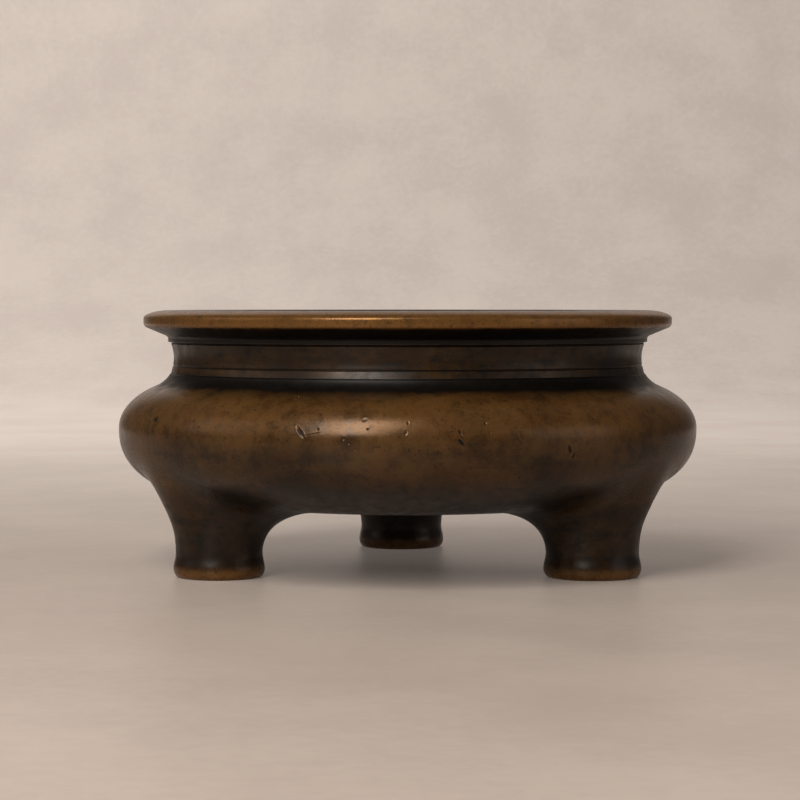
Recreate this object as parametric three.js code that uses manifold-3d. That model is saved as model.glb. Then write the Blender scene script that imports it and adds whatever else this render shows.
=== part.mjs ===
// Bronze tripod incense burner: a low bowl with a waisted neck and an everted lip, on three hollow legs.
// Millimetres, +Z up, standing on Z = 0 with its axis on X = Y = 0 and its front towards -Y.
import * as THREE from "three";
import { mergeVertices } from "three/addons/utils/BufferGeometryUtils.js";
import Module from "manifold-3d";

const wasm = await Module();
wasm.setup();

// Bowl
const BELLY_R = 110; // widest radius
const FLOOR_Z = 24.3; // underside of the bowl above the ground
const WALL = 5; // metal of the bowl and its floor
const BELLY_DROP = 29.2; // from the widest line down to the underside
const BELLY_TURN = 58; // how far in the lower curve runs before the underside is flat
const BELLY_FULLNESS = 2.38; // exponent of the lower curve, 2 for an ellipse, more for a fuller one
const SHOULDER_RISE = 19.6; // height of the ellipse that the shoulder follows
const SHOULDER_TURN = 34; // radial half axis of the same ellipse

// Neck, from the shoulder up
const NECK_SETBACK = 19.8; // from the widest radius in to the lowest band
const NECK_WALL = 6.6; // metal of the neck at its lowest band
const COVE_REACH = 4.6; // how far the cove at the foot of the neck runs out over the shoulder
const COVE_RISE = 4; // height of the cove
const LOWER_BAND = 3.2;
const LOWER_BAND_LEAN = 0.6; // how much narrower the lower band is at its top
const MIDDLE_BAND = 8.6;
const NECK_HOLLOW = 0.75; // how far the middle band is drawn in
const UPPER_BAND = 2.2;
const UPPER_BAND_STEP = 1.1; // how far the upper band stands out from the lower one's foot
const LINE_WIDTH = 0.7; // each of the incised lines between the bands
const LINE_DEPTH = 0.45;

// Lip
const LIP_OVERHANG = 10.4; // from the lowest band out to the face of the lip
const LIP_SLOPE = 3.4; // rise of the sloping underside
const LIP_FACE = 6.8; // height of the face, rounded edges included
const LIP_TOP_ROUND = 10; // how far in the top edge starts to roll over
const LIP_TOP_DROP = 3.2; // how far down that roll reaches
const LIP_LOWER_ROUND = 2; // radius of the lower edge
const LIP_LOWER_TURN = 70; // how far that edge rolls under, in degrees
const MOUTH_ROUND = 1.2; // radius of the inner edge

// Legs
const LEG_SETBACK = 14.1; // from the widest radius in to the outer side of a leg's waist
const WAIST_Z = 8.9; // height of the waist, the narrowest part of a leg
const SOLE_FLARE = 0.85; // how far the foot spreads beyond the waist
const SOLE_EDGE = 2.2; // radial width of the rounded edge of the sole
const SOLE_EDGE_RISE = 3.3; // its height
const LEG_WALL = 5; // metal of the foot at its waist
const FRONT_LEFT_R = 16; // waist radius of each leg: they were modelled by hand, so they differ
const FRONT_RIGHT_R = 17.2;
const BACK_R = 16.6;
const LEGS = [
  { name: "front_left", bearing: 209.6, waistR: FRONT_LEFT_R },
  { name: "front_right", bearing: 329.6, waistR: FRONT_RIGHT_R },
  { name: "back", bearing: 91.7, waistR: BACK_R },
];

// Leg roots, the flare where each leg runs into the belly
const ROOT_R = 36; // radius of the round patch of belly that a root covers
const ROOT_EDGE = 1.2; // gap between that patch and the widest radius
const LEG_EASE = 0.3; // how long the flare keeps to the leg, as a share of its length
const BELLY_EASE = 0.58; // how long it keeps to the belly
const ROOT_SINK = 0.2; // how deep the root's edge runs under the belly's surface
const ROOT_RINGS = [0.9, 0.6, 0.3]; // rings of a root inside the bowl's wall, as shares of its reach

// Joint of each leg
const JOINT_Z = 13.5; // height of the joint round the leg
const LEDGE = 5.4; // flat ring round the plug that the body's metal sits on
const PLUG_RISE = 11;
const PLUG_SINK = 1.25; // how deep the plug starts inside the leg's own metal
const DOVETAIL = 1.5; // how much wider the plug is at its head
const PLUG_WALL = 4.2; // metal round the clay in the plug
const CORE_STEP_Z = 6.5; // height where the clay starts to narrow
const CORE_STEP_RISE = 3.5;
const CORE_RECESS = 3; // how far the clay lies back from the sole
const FIT = 0.3; // clearance between touching pieces
const OVERCUT = 1; // how far a cut runs past the face that it opens

// Chaplets in the floor
const CHAPLET_R = 4.5; // half of a chaplet's diagonal
const CHAPLET_WAIST = 0.8; // how far its sides are notched, so that the cast metal grips it
const CHAPLET_EDGE = 1; // height of the straight edge on either side of the notch
const CHAPLET_SPREAD = 34; // distance of the outer three from the middle
const CHAPLETS = [
  { name: "centre", bearing: 0, spread: 0 },
  { name: "left", bearing: 150, spread: CHAPLET_SPREAD },
  { name: "right", bearing: 30, spread: CHAPLET_SPREAD },
  { name: "front", bearing: 270, spread: CHAPLET_SPREAD },
];

// Facets
const BOWL_SIDES = 72;
const LEG_SIDES = 28;
const CORE_SIDES = 20;
const BELLY_STEPS = 10;
const SHOULDER_STEPS = 6;
const COVE_STEPS = 3;
const BAND_STEPS = 4;
const LIP_EDGE_STEPS = 3;
const LIP_TOP_STEPS = 6;
const MOUTH_STEPS = 2;
const INNER_SHOULDER_STEPS = 5;
const INNER_BELLY_STEPS = 7;
const SOLE_STEPS = 4;
const FLARE_STEPS = 8;
const CORE_TOP_STEPS = 3;

const MATERIALS = {
  bronze: new THREE.MeshStandardMaterial({ color: "#5c3e20", roughness: 0.36, metalness: 0.9 }),
  footBronze: new THREE.MeshStandardMaterial({ color: "#634526", roughness: 0.38, metalness: 0.9 }),
  chapletBronze: new THREE.MeshStandardMaterial({ color: "#4a3420", roughness: 0.5, metalness: 0.85 }),
  clay: new THREE.MeshStandardMaterial({ color: "#6e5c4a", roughness: 0.95, metalness: 0 }),
};

// Places that follow from the sizes
const widestZ = FLOOR_Z + BELLY_DROP;
const neckR = BELLY_R - NECK_SETBACK;
const shoulderR = BELLY_R - SHOULDER_TURN;
const coveR = neckR + COVE_REACH;
const coveZ = widestZ + SHOULDER_RISE * Math.sqrt(1 - ((coveR - shoulderR) / SHOULDER_TURN) ** 2);
const lowerBandZ = coveZ + COVE_RISE;
const middleBandZ = lowerBandZ + LOWER_BAND;
const upperBandZ = middleBandZ + MIDDLE_BAND;
const lipZ = upperBandZ + UPPER_BAND;
const topZ = lipZ + LIP_SLOPE + LIP_FACE;
const rimR = neckR + LIP_OVERHANG;
const mouthR = neckR - NECK_WALL;

const radians = THREE.MathUtils.degToRad;
const degrees = THREE.MathUtils.radToDeg;
const point = (r, z) => new THREE.Vector2(r, z);

// Height of the bowl's lower curve at a radius, on a surface that lies inset inside the outer one.
function bellyZ(r, inset = 0) {
  const across = Math.max(0, (r - BELLY_R + BELLY_TURN) / (BELLY_TURN - inset));
  const down = 1 - Math.min(1, across) ** BELLY_FULLNESS;
  return widestZ - (BELLY_DROP - inset) * down ** (1 / BELLY_FULLNESS);
}

// Points along an ellipse, angles in degrees from the outward direction.
function arc(r, z, halfWidth, halfHeight, from, to, steps) {
  return Array.from({ length: steps + 1 }, (_, i) => {
    const angle = radians(from + ((to - from) * i) / steps);
    return point(r + halfWidth * Math.cos(angle), z + halfHeight * Math.sin(angle));
  });
}

// The bowl's lower curve from the flat underside out to the widest line.
function lowerCurve(inset, steps) {
  const power = 2 / BELLY_FULLNESS;
  return Array.from({ length: steps + 1 }, (_, i) => {
    const angle = (Math.PI / 2) * (1 - i / steps);
    return point(
      BELLY_R - BELLY_TURN + (BELLY_TURN - inset) * Math.cos(angle) ** power,
      widestZ - (BELLY_DROP - inset) * Math.sin(angle) ** power,
    );
  });
}

const curve = (from, bend, to, steps) => new THREE.QuadraticBezierCurve(from, bend, to).getPoints(steps);

// Neck: a cove off the shoulder, three bands with an incised line between each two, and a cove under the lip.
function neckOutline() {
  const bandTopR = neckR - LOWER_BAND_LEAN;
  const upperR = neckR + UPPER_BAND_STEP;
  const half = LINE_WIDTH / 2;
  const coveBend = point(neckR + COVE_REACH / 3, coveZ + COVE_RISE / 2);
  const hollow = point(neckR - 2 * NECK_HOLLOW, (middleBandZ + upperBandZ) / 2);
  const middleFoot = point(bandTopR - LINE_DEPTH / 3, middleBandZ + half);
  return [
    ...curve(point(coveR, coveZ), coveBend, point(neckR + LINE_DEPTH, lowerBandZ), COVE_STEPS),
    point(neckR, lowerBandZ + half),
    point(bandTopR, middleBandZ - half),
    point(bandTopR - LINE_DEPTH, middleBandZ),
    ...curve(middleFoot, hollow, point(neckR, upperBandZ - half), BAND_STEPS),
    point(neckR - LINE_DEPTH, upperBandZ),
    point(upperR, upperBandZ + half),
    point(upperR, lipZ - half),
  ];
}

// Lip: a sloping underside, a rounded lower edge, an upright face and a top that rolls over.
function lipOutline() {
  const lowerR = rimR - LIP_LOWER_ROUND;
  const lowerZ = lipZ + LIP_SLOPE + LIP_LOWER_ROUND;
  return [
    point(neckR + UPPER_BAND_STEP + LIP_SLOPE / 2, lipZ + LIP_SLOPE / 4),
    ...arc(lowerR, lowerZ, LIP_LOWER_ROUND, LIP_LOWER_ROUND, -LIP_LOWER_TURN, 0, LIP_EDGE_STEPS),
    ...arc(rimR - LIP_TOP_ROUND, topZ - LIP_TOP_DROP, LIP_TOP_ROUND, LIP_TOP_DROP, 0, 90, LIP_TOP_STEPS),
  ];
}

// Inside: the mouth's edge, the straight inner side of the neck, and the bowl at one wall's depth.
function insideOutline() {
  const reach = SHOULDER_TURN - WALL;
  const shoulderAngle = degrees(Math.acos((mouthR - shoulderR) / reach));
  return [
    ...arc(mouthR + MOUTH_ROUND, topZ - MOUTH_ROUND, MOUTH_ROUND, MOUTH_ROUND, 90, 180, MOUTH_STEPS),
    ...arc(shoulderR, widestZ, reach, SHOULDER_RISE - WALL, shoulderAngle, 0, INNER_SHOULDER_STEPS),
    ...lowerCurve(WALL, INNER_BELLY_STEPS).reverse().slice(1),
    point(0, FLOOR_Z + WALL),
  ];
}

function bowlGeometry() {
  const shoulderAngle = degrees(Math.acos((coveR - shoulderR) / SHOULDER_TURN));
  const shoulder = arc(shoulderR, widestZ, SHOULDER_TURN, SHOULDER_RISE, 0, shoulderAngle, SHOULDER_STEPS);
  return turned(
    [
      point(0, FLOOR_Z),
      ...lowerCurve(0, BELLY_STEPS),
      ...shoulder.slice(1, -1),
      ...neckOutline(),
      ...lipOutline(),
      ...insideOutline(),
    ],
    BOWL_SIDES,
  );
}

// A closed outline of radius and height turned about the Z axis.
function turned(outline, sides) {
  return new THREE.LatheGeometry(outline, sides).rotateX(Math.PI / 2);
}

// A closed skin over rings of points, with a fan over either end.
function lofted(rings, bottom, top) {
  const count = rings[0].length;
  const points = [bottom, ...rings.flat(), top];
  const last = 1 + (rings.length - 1) * count;
  const faces = [];
  for (let j = 0; j < count; j++) {
    const k = (j + 1) % count;
    faces.push(0, 1 + k, 1 + j, last + j, last + k, points.length - 1);
    for (let a = 1; a < last; a += count) {
      faces.push(a + j, a + k, a + count + k, a + j, a + count + k, a + count + j);
    }
  }
  return new THREE.BufferGeometry().setFromPoints(points).setIndex(faces);
}

const legCircleR = (leg) => BELLY_R - LEG_SETBACK - leg.waistR;
const rootCircleR = BELLY_R - ROOT_EDGE - ROOT_R;

// The flare in one upright plane through the leg's axis, upright at the waist and level with the belly at its end.
function flareCurve(leg, direction) {
  const legR = legCircleR(leg);
  const offset = legR - rootCircleR;
  const out = Math.cos(direction);
  const reach = Math.sqrt(ROOT_R ** 2 - (offset * Math.sin(direction)) ** 2) - offset * out;
  const radiusAt = (s) => Math.hypot(legR + s * out, s * Math.sin(direction));
  const from = point(leg.waistR, WAIST_Z);
  const to = point(reach, bellyZ(radiusAt(reach), ROOT_SINK));
  const before = bellyZ(radiusAt(reach - 1), ROOT_SINK);
  const along = point(1, to.y - before).normalize();
  const span = from.distanceTo(to);
  return new THREE.CubicBezierCurve(
    from,
    point(from.x, from.y + LEG_EASE * span),
    to.clone().addScaledVector(along, -BELLY_EASE * span),
    to,
  );
}

// The whole outside of a leg about its own axis, outward side towards +X, closed off inside the bowl's wall.
function legForm(leg) {
  const directions = Array.from({ length: LEG_SIDES }, (_, j) => (2 * Math.PI * j) / LEG_SIDES);
  const place = (direction, s, z) => new THREE.Vector3(s * Math.cos(direction), s * Math.sin(direction), z);
  const soleR = leg.waistR + SOLE_FLARE;
  const foot = [
    ...arc(soleR - SOLE_EDGE, SOLE_EDGE_RISE, SOLE_EDGE, SOLE_EDGE_RISE, -90, 0, SOLE_STEPS),
    point(leg.waistR + SOLE_FLARE / 2, (SOLE_EDGE_RISE + WAIST_Z) / 2),
    point(leg.waistR, WAIST_Z),
  ];
  const flares = directions.map((direction) => flareCurve(leg, direction).getPoints(FLARE_STEPS));
  const rings = foot.map((p) => directions.map((direction) => place(direction, p.x, p.y)));
  for (let i = 1; i <= FLARE_STEPS; i++) {
    rings.push(directions.map((direction, j) => place(direction, flares[j][i].x, flares[j][i].y)));
  }
  const legR = legCircleR(leg);
  const inWall = (x, y) => bellyZ(Math.hypot(legR + x, y), WALL / 2);
  for (const share of ROOT_RINGS) {
    rings.push(
      directions.map((direction, j) => {
        const s = share * flares[j][FLARE_STEPS].x;
        const p = place(direction, s, 0);
        return p.setZ(inWall(p.x, p.y));
      }),
    );
  }
  return lofted(rings, new THREE.Vector3(), new THREE.Vector3(0, 0, inWall(0, 0)));
}

// The plug on top of a leg, or with a clearance the socket that the body's metal formed round it.
function plugGeometry(leg, clearance = 0) {
  const plugR = leg.waistR - LEDGE + clearance;
  const foot = clearance ? JOINT_Z - FIT : JOINT_Z - FIT - PLUG_SINK;
  return turned(
    [
      point(0, foot),
      point(plugR, foot),
      point(plugR, JOINT_Z),
      point(plugR + DOVETAIL, JOINT_Z + PLUG_RISE + clearance - FIT),
      point(0, JOINT_Z + PLUG_RISE + clearance - FIT),
    ],
    LEG_SIDES,
  );
}

// The clay core of a leg, or with a clearance the hollow that it fills, open at the sole.
function coreGeometry(leg, clearance = 0) {
  const wideR = leg.waistR - LEG_WALL - FIT + clearance;
  const narrowR = leg.waistR - LEDGE - PLUG_WALL - FIT + clearance;
  const topEnd = JOINT_Z + PLUG_RISE - PLUG_WALL - FIT + clearance;
  const foot = clearance ? -OVERCUT : CORE_RECESS;
  return turned(
    [
      point(0, foot),
      point(wideR, foot),
      point(wideR, CORE_STEP_Z),
      point(narrowR, CORE_STEP_Z + CORE_STEP_RISE),
      ...arc(0, topEnd - narrowR / 2, narrowR, narrowR / 2, 0, 90, CORE_TOP_STEPS),
    ],
    CORE_SIDES,
  );
}

// A chaplet, a square notched on every side, or with a clearance the hole that it left in the floor.
function chapletGeometry(clearance = 0) {
  const r = CHAPLET_R + clearance * Math.SQRT2;
  const waistR = r - CHAPLET_WAIST;
  const below = clearance ? FLOOR_Z - OVERCUT : FLOOR_Z;
  const above = clearance ? FLOOR_Z + WALL + OVERCUT : FLOOR_Z + WALL;
  return turned(
    [
      point(0, below),
      point(r, below),
      point(r, FLOOR_Z + CHAPLET_EDGE),
      point(waistR, FLOOR_Z + WALL / 2),
      point(r, FLOOR_Z + WALL - CHAPLET_EDGE),
      point(r, above),
      point(0, above),
    ],
    4,
  );
}

// A closed geometry as a solid that can be joined to and cut by others.
function solidOf(geometry, place = new THREE.Matrix4()) {
  const bare = new THREE.BufferGeometry()
    .setAttribute("position", geometry.getAttribute("position").clone())
    .setIndex(geometry.index)
    .applyMatrix4(place);
  const welded = mergeVertices(bare);
  return new wasm.Manifold(
    new wasm.Mesh({
      numProp: 3,
      vertProperties: welded.getAttribute("position").array,
      triVerts: new Uint32Array(welded.index.array),
    }),
  );
}

// A solid as a geometry that three.js draws.
function geometryOf(solid) {
  const { vertProperties, triVerts } = solid.getMesh();
  return new THREE.BufferGeometry()
    .setAttribute("position", new THREE.BufferAttribute(vertProperties, 3))
    .setIndex(new THREE.BufferAttribute(triVerts, 1))
    .toNonIndexed();
}

function meshOf(name, geometry, material) {
  geometry.computeVertexNormals();
  const mesh = new THREE.Mesh(geometry, material);
  mesh.name = name;
  return mesh;
}

// Where a leg stands: turned to its bearing, then moved out to its circle.
function legPlace(leg) {
  return new THREE.Matrix4()
    .makeRotationZ(radians(leg.bearing))
    .multiply(new THREE.Matrix4().makeTranslation(legCircleR(leg), 0, 0));
}

function chapletPlace(chaplet) {
  return new THREE.Matrix4()
    .makeRotationZ(radians(chaplet.bearing))
    .multiply(new THREE.Matrix4().makeTranslation(chaplet.spread, 0, 0));
}

// A block round a leg from below the sole up to a height.
function blockBelow(z) {
  const width = 4 * ROOT_R;
  return new THREE.BoxGeometry(width, width, z + OVERCUT).translate(0, 0, (z - OVERCUT) / 2);
}

function vesselBody() {
  let body = solidOf(bowlGeometry());
  for (const leg of LEGS) {
    const place = legPlace(leg);
    const root = solidOf(legForm(leg), place).subtract(solidOf(blockBelow(JOINT_Z), place));
    body = body.add(root).subtract(solidOf(plugGeometry(leg, FIT), place));
  }
  for (const chaplet of CHAPLETS) {
    body = body.subtract(solidOf(chapletGeometry(FIT), chapletPlace(chaplet)));
  }
  return meshOf("vessel_body", geometryOf(body), MATERIALS.bronze);
}

function legWithCore(leg) {
  const shell = solidOf(legForm(leg))
    .intersect(solidOf(blockBelow(JOINT_Z - FIT)))
    .add(solidOf(plugGeometry(leg)))
    .subtract(solidOf(coreGeometry(leg, FIT)));
  const group = new THREE.Group();
  group.applyMatrix4(legPlace(leg));
  group.add(
    meshOf("leg_" + leg.name, geometryOf(shell), MATERIALS.footBronze),
    meshOf("leg_core_" + leg.name, coreGeometry(leg), MATERIALS.clay),
  );
  return group;
}

function floorChaplet(chaplet) {
  const mesh = meshOf("floor_chaplet_" + chaplet.name, chapletGeometry(), MATERIALS.chapletBronze);
  mesh.applyMatrix4(chapletPlace(chaplet));
  return mesh;
}

const burner = new THREE.Group();
burner.add(vesselBody(), ...LEGS.map(legWithCore), ...CHAPLETS.map(floorChaplet));

export default burner;
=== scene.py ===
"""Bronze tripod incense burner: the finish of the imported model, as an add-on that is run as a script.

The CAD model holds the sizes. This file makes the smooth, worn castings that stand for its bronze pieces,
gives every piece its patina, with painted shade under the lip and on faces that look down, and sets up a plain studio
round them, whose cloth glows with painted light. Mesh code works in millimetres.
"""
import math

import bmesh
import bpy
import numpy as np
from mathutils import Matrix, Vector, noise
from mathutils.geometry import delaunay_2d_cdt
from mathutils.kdtree import KDTree


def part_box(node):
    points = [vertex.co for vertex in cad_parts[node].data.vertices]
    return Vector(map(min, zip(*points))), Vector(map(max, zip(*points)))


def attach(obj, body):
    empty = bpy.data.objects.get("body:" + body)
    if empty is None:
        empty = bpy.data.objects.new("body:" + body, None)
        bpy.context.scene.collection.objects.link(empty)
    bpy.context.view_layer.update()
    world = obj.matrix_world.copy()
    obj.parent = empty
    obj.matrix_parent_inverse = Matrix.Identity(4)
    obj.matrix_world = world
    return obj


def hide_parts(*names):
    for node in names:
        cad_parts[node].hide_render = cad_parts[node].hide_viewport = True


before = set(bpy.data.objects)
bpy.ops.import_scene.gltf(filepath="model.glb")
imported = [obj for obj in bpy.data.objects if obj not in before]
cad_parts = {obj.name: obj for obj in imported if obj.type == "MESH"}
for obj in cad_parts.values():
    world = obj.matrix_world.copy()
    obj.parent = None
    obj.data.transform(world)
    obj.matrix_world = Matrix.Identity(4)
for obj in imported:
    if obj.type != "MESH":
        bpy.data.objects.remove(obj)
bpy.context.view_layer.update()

bl_info = {
    "name": "Bronze tripod burner",
    "version": (1, 0, 0),
    "blender": (4, 5, 0),
    "location": "3D View > Sidebar > Burner",
    "description": "Builds the worn bronze castings, their patina and the studio of a tripod incense burner",
    "category": "Add Mesh",
}

MM = 0.001
BODY = "root"

# Bowl, as the CAD model has it
body_low, body_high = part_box("vessel_body")
BELLY_R = (body_high.x - body_low.x) / 2 / MM
JOINT_Z = body_low.z / MM
TOP_Z = body_high.z / MM
FLOOR_Z = 24.3
WALL = 5
BELLY_DROP = 29.2
BELLY_TURN = 58
BELLY_FULLNESS = 2.38
SHOULDER_RISE = 19.6
SHOULDER_TURN = 34

# Neck and lip
NECK_R = BELLY_R - 19.8
NECK_WALL = 6.6
COVE_REACH = 4.6
COVE_RISE = 4
LOWER_BAND = 3.2
LOWER_BAND_LEAN = 0.6
MIDDLE_BAND = 8.6
NECK_HOLLOW = 0.75
UPPER_BAND = 2.2
UPPER_BAND_STEP = 1.1
LINE_WIDTH = 0.7
LINE_DEPTH = 0.45
LIP_OVERHANG = 10.4
LIP_SLOPE = 3.4
LIP_TOP_ROUND = 10
LIP_TOP_DROP = 3.2
LIP_LOWER_ROUND = 2
MOUTH_ROUND = 1.2

# Legs
LEG_WAISTS = {"front_left": 16, "front_right": 17.2, "back": 16.6}
WAIST_Z = 8.9
SOLE_FLARE = 0.85
SOLE_EDGE = 2.2
SOLE_EDGE_RISE = 3.3
LEG_WALL = 5
ROOT_R = 36
ROOT_CIRCLE_R = BELLY_R - 1.2 - ROOT_R
LEG_EASE = 0.3
BELLY_EASE = 0.58
LEDGE = 5.4
PLUG_RISE = 11
DOVETAIL = 1.5
PLUG_WALL = 4.2
CORE_STEP_Z = 6.5
CORE_STEP_RISE = 3.5
JOINT_GAP = 0.3
HAIR = 0.01

# Chaplets
CHAPLET_SPREAD = 34
CHAPLET_SIDE = 6.36
CHAPLET_PROUD = 0.08

# Mesh density
SIDES = 400
LEG_SIDES = 112
STEP = 1.5
FLAT_STEP = 4.0

WIDEST_Z = FLOOR_Z + BELLY_DROP
SHOULDER_R = BELLY_R - SHOULDER_TURN
COVE_R = NECK_R + COVE_REACH
COVE_Z = WIDEST_Z + SHOULDER_RISE * math.sqrt(1 - ((COVE_R - SHOULDER_R) / SHOULDER_TURN) ** 2)
LOWER_BAND_Z = COVE_Z + COVE_RISE
MIDDLE_BAND_Z = LOWER_BAND_Z + LOWER_BAND
UPPER_BAND_Z = MIDDLE_BAND_Z + MIDDLE_BAND
LIP_Z = UPPER_BAND_Z + UPPER_BAND
RIM_R = NECK_R + LIP_OVERHANG
MOUTH_R = NECK_R - NECK_WALL

# Nicks and pits that show on the belly: bearing, height, half length, half width, depth, lean from upright
MARKS = [
    (250.2, 56.4, 1.9, 0.55, 0.42, -38),
    (253.1, 56.0, 3.6, 0.22, 0.08, 78),
    (253.5, 57.5, 0.45, 0.45, 0.2, 0),
    (258.4, 54.4, 0.55, 0.45, 0.25, 20),
    (259.3, 52.9, 0.4, 0.4, 0.2, 0),
    (260.4, 50.8, 0.35, 0.35, 0.15, 0),
    (262.0, 60.8, 0.9, 0.6, 0.09, 60),
    (262.7, 57.7, 0.4, 0.4, 0.18, 0),
    (269.5, 56.4, 0.7, 0.5, 0.2, 15),
    (269.9, 59.7, 0.6, 0.4, 0.15, 0),
    (279.4, 53.2, 1.5, 0.55, 0.45, -50),
    (281.0, 52.1, 1.7, 0.3, 0.16, -70),
    (279.2, 56.6, 1.1, 0.4, 0.25, -25),
    (284.0, 59.6, 0.6, 0.45, 0.25, 0),
    (284.7, 56.5, 0.45, 0.4, 0.2, 0),
    (289.2, 54.0, 2.6, 0.3, 0.1, 12),
    (290.4, 55.6, 1.6, 0.25, 0.08, -14),
    (282.1, 50.1, 1.6, 0.25, 0.08, 8),
    (270.2, 50.6, 0.5, 0.4, 0.16, 0),
    (272.0, 50.3, 0.45, 0.45, 0.16, 0),
    (271.3, 48.9, 0.4, 0.4, 0.14, 0),
    (291.0, 40.3, 0.8, 0.6, 0.25, 0),
    (300.7, 49.9, 1.5, 0.45, 0.38, -20),
    (301.6, 47.6, 1.3, 0.4, 0.3, 30),
    (306.7, 60.4, 0.7, 0.5, 0.15, 0),
    (316.0, 62.0, 0.6, 0.5, 0.12, 0),
    (213.2, 58.9, 1.1, 1.5, 0.3, 0),
    (225.7, 59.3, 0.6, 0.5, 0.18, 0),
    (227.6, 57.0, 0.5, 0.4, 0.15, 0),
]


# Outlines, as lists of radius and height

def ellipse_arc(r, z, half_width, half_height, start, end, steps):
    """Points along an ellipse, angles in degrees from the outward direction."""
    angles = np.radians(np.linspace(start, end, steps + 1))
    return np.column_stack([r + half_width * np.cos(angles), z + half_height * np.sin(angles)])


def belly_height(r, inset=0.0):
    """Height of the bowl's lower curve at a radius, on a surface inset inside the outer one."""
    across = max(0.0, (r - BELLY_R + BELLY_TURN) / (BELLY_TURN - inset))
    down = 1 - min(1.0, across) ** BELLY_FULLNESS
    return WIDEST_Z - (BELLY_DROP - inset) * down ** (1 / BELLY_FULLNESS)


def lower_curve(inset, steps):
    """The bowl's lower curve from the flat underside out to the widest line."""
    angles = np.linspace(np.pi / 2, 0, steps + 1)
    power = 2 / BELLY_FULLNESS
    across = np.clip(np.cos(angles), 0, 1) ** power
    down = np.clip(np.sin(angles), 0, 1) ** power
    return np.column_stack(
        [BELLY_R - BELLY_TURN + (BELLY_TURN - inset) * across, WIDEST_Z - (BELLY_DROP - inset) * down]
    )


def bend(start, middle, end, steps):
    """A curve from start to end, drawn towards middle."""
    t = np.linspace(0, 1, steps + 1)[:, None]
    return (1 - t) ** 2 * np.array(start) + 2 * t * (1 - t) * np.array(middle) + t**2 * np.array(end)


def softened(points, radius):
    """The same outline with each sharp corner rounded."""
    made = [points[0]]
    for before, corner, after in zip(points, points[1:], points[2:]):
        back, on = before - corner, after - corner
        long_back, long_on = np.linalg.norm(back), np.linalg.norm(on)
        turn = math.degrees(math.acos(np.clip(-back @ on / (long_back * long_on), -1, 1)))
        if turn < 14:
            made.append(corner)
            continue
        cut = min(radius, 0.42 * long_back, 0.42 * long_on)
        made.extend(bend(corner + back / long_back * cut, corner, corner + on / long_on * cut, 3))
    made.append(points[-1])
    return np.array(made)


def neck_outline():
    """Cove, three bands with an incised line between each two, and the cove under the lip."""
    band_top = NECK_R - LOWER_BAND_LEAN
    upper = NECK_R + UPPER_BAND_STEP
    half = LINE_WIDTH / 2
    middle = (MIDDLE_BAND_Z + UPPER_BAND_Z) / 2
    return np.vstack([
        bend((COVE_R, COVE_Z), (NECK_R + COVE_REACH / 3, COVE_Z + COVE_RISE / 2),
             (NECK_R + LINE_DEPTH, LOWER_BAND_Z), 8),
        [(NECK_R, LOWER_BAND_Z + half), (band_top, MIDDLE_BAND_Z - half), (band_top - LINE_DEPTH, MIDDLE_BAND_Z)],
        bend((band_top - LINE_DEPTH / 3, MIDDLE_BAND_Z + half), (NECK_R - 2 * NECK_HOLLOW, middle),
             (NECK_R, UPPER_BAND_Z - half), 9),
        [(NECK_R - LINE_DEPTH, UPPER_BAND_Z), (upper, UPPER_BAND_Z + half), (upper, LIP_Z - half)],
        bend((upper + LIP_SLOPE / 12, LIP_Z), (upper + LIP_SLOPE / 6, LIP_Z + LIP_SLOPE / 6),
             (upper + LIP_SLOPE / 2, LIP_Z + LIP_SLOPE / 4), 3),
    ])


def lip_outline():
    """Sloping underside, rounded lower edge, upright face and a top that rolls over."""
    lower_r = RIM_R - LIP_LOWER_ROUND
    return np.vstack([
        ellipse_arc(lower_r, LIP_Z + LIP_SLOPE + LIP_LOWER_ROUND, LIP_LOWER_ROUND, LIP_LOWER_ROUND, -70, 0, 8),
        ellipse_arc(RIM_R - LIP_TOP_ROUND, TOP_Z - LIP_TOP_DROP, LIP_TOP_ROUND, LIP_TOP_DROP, 0, 90, 18),
    ])


def inside_outline():
    """Mouth edge, inner side of the neck, and the bowl at one wall's depth, down to the edge of its floor."""
    reach = SHOULDER_TURN - WALL
    angle = math.degrees(math.acos((MOUTH_R - SHOULDER_R) / reach))
    return np.vstack([
        ellipse_arc(MOUTH_R + MOUTH_ROUND, TOP_Z - MOUTH_ROUND, MOUTH_ROUND, MOUTH_ROUND, 90, 180, 5),
        ellipse_arc(SHOULDER_R, WIDEST_Z, reach, SHOULDER_RISE - WALL, angle, 0, 9),
        lower_curve(WALL, 14)[::-1][1:],
    ])


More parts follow.
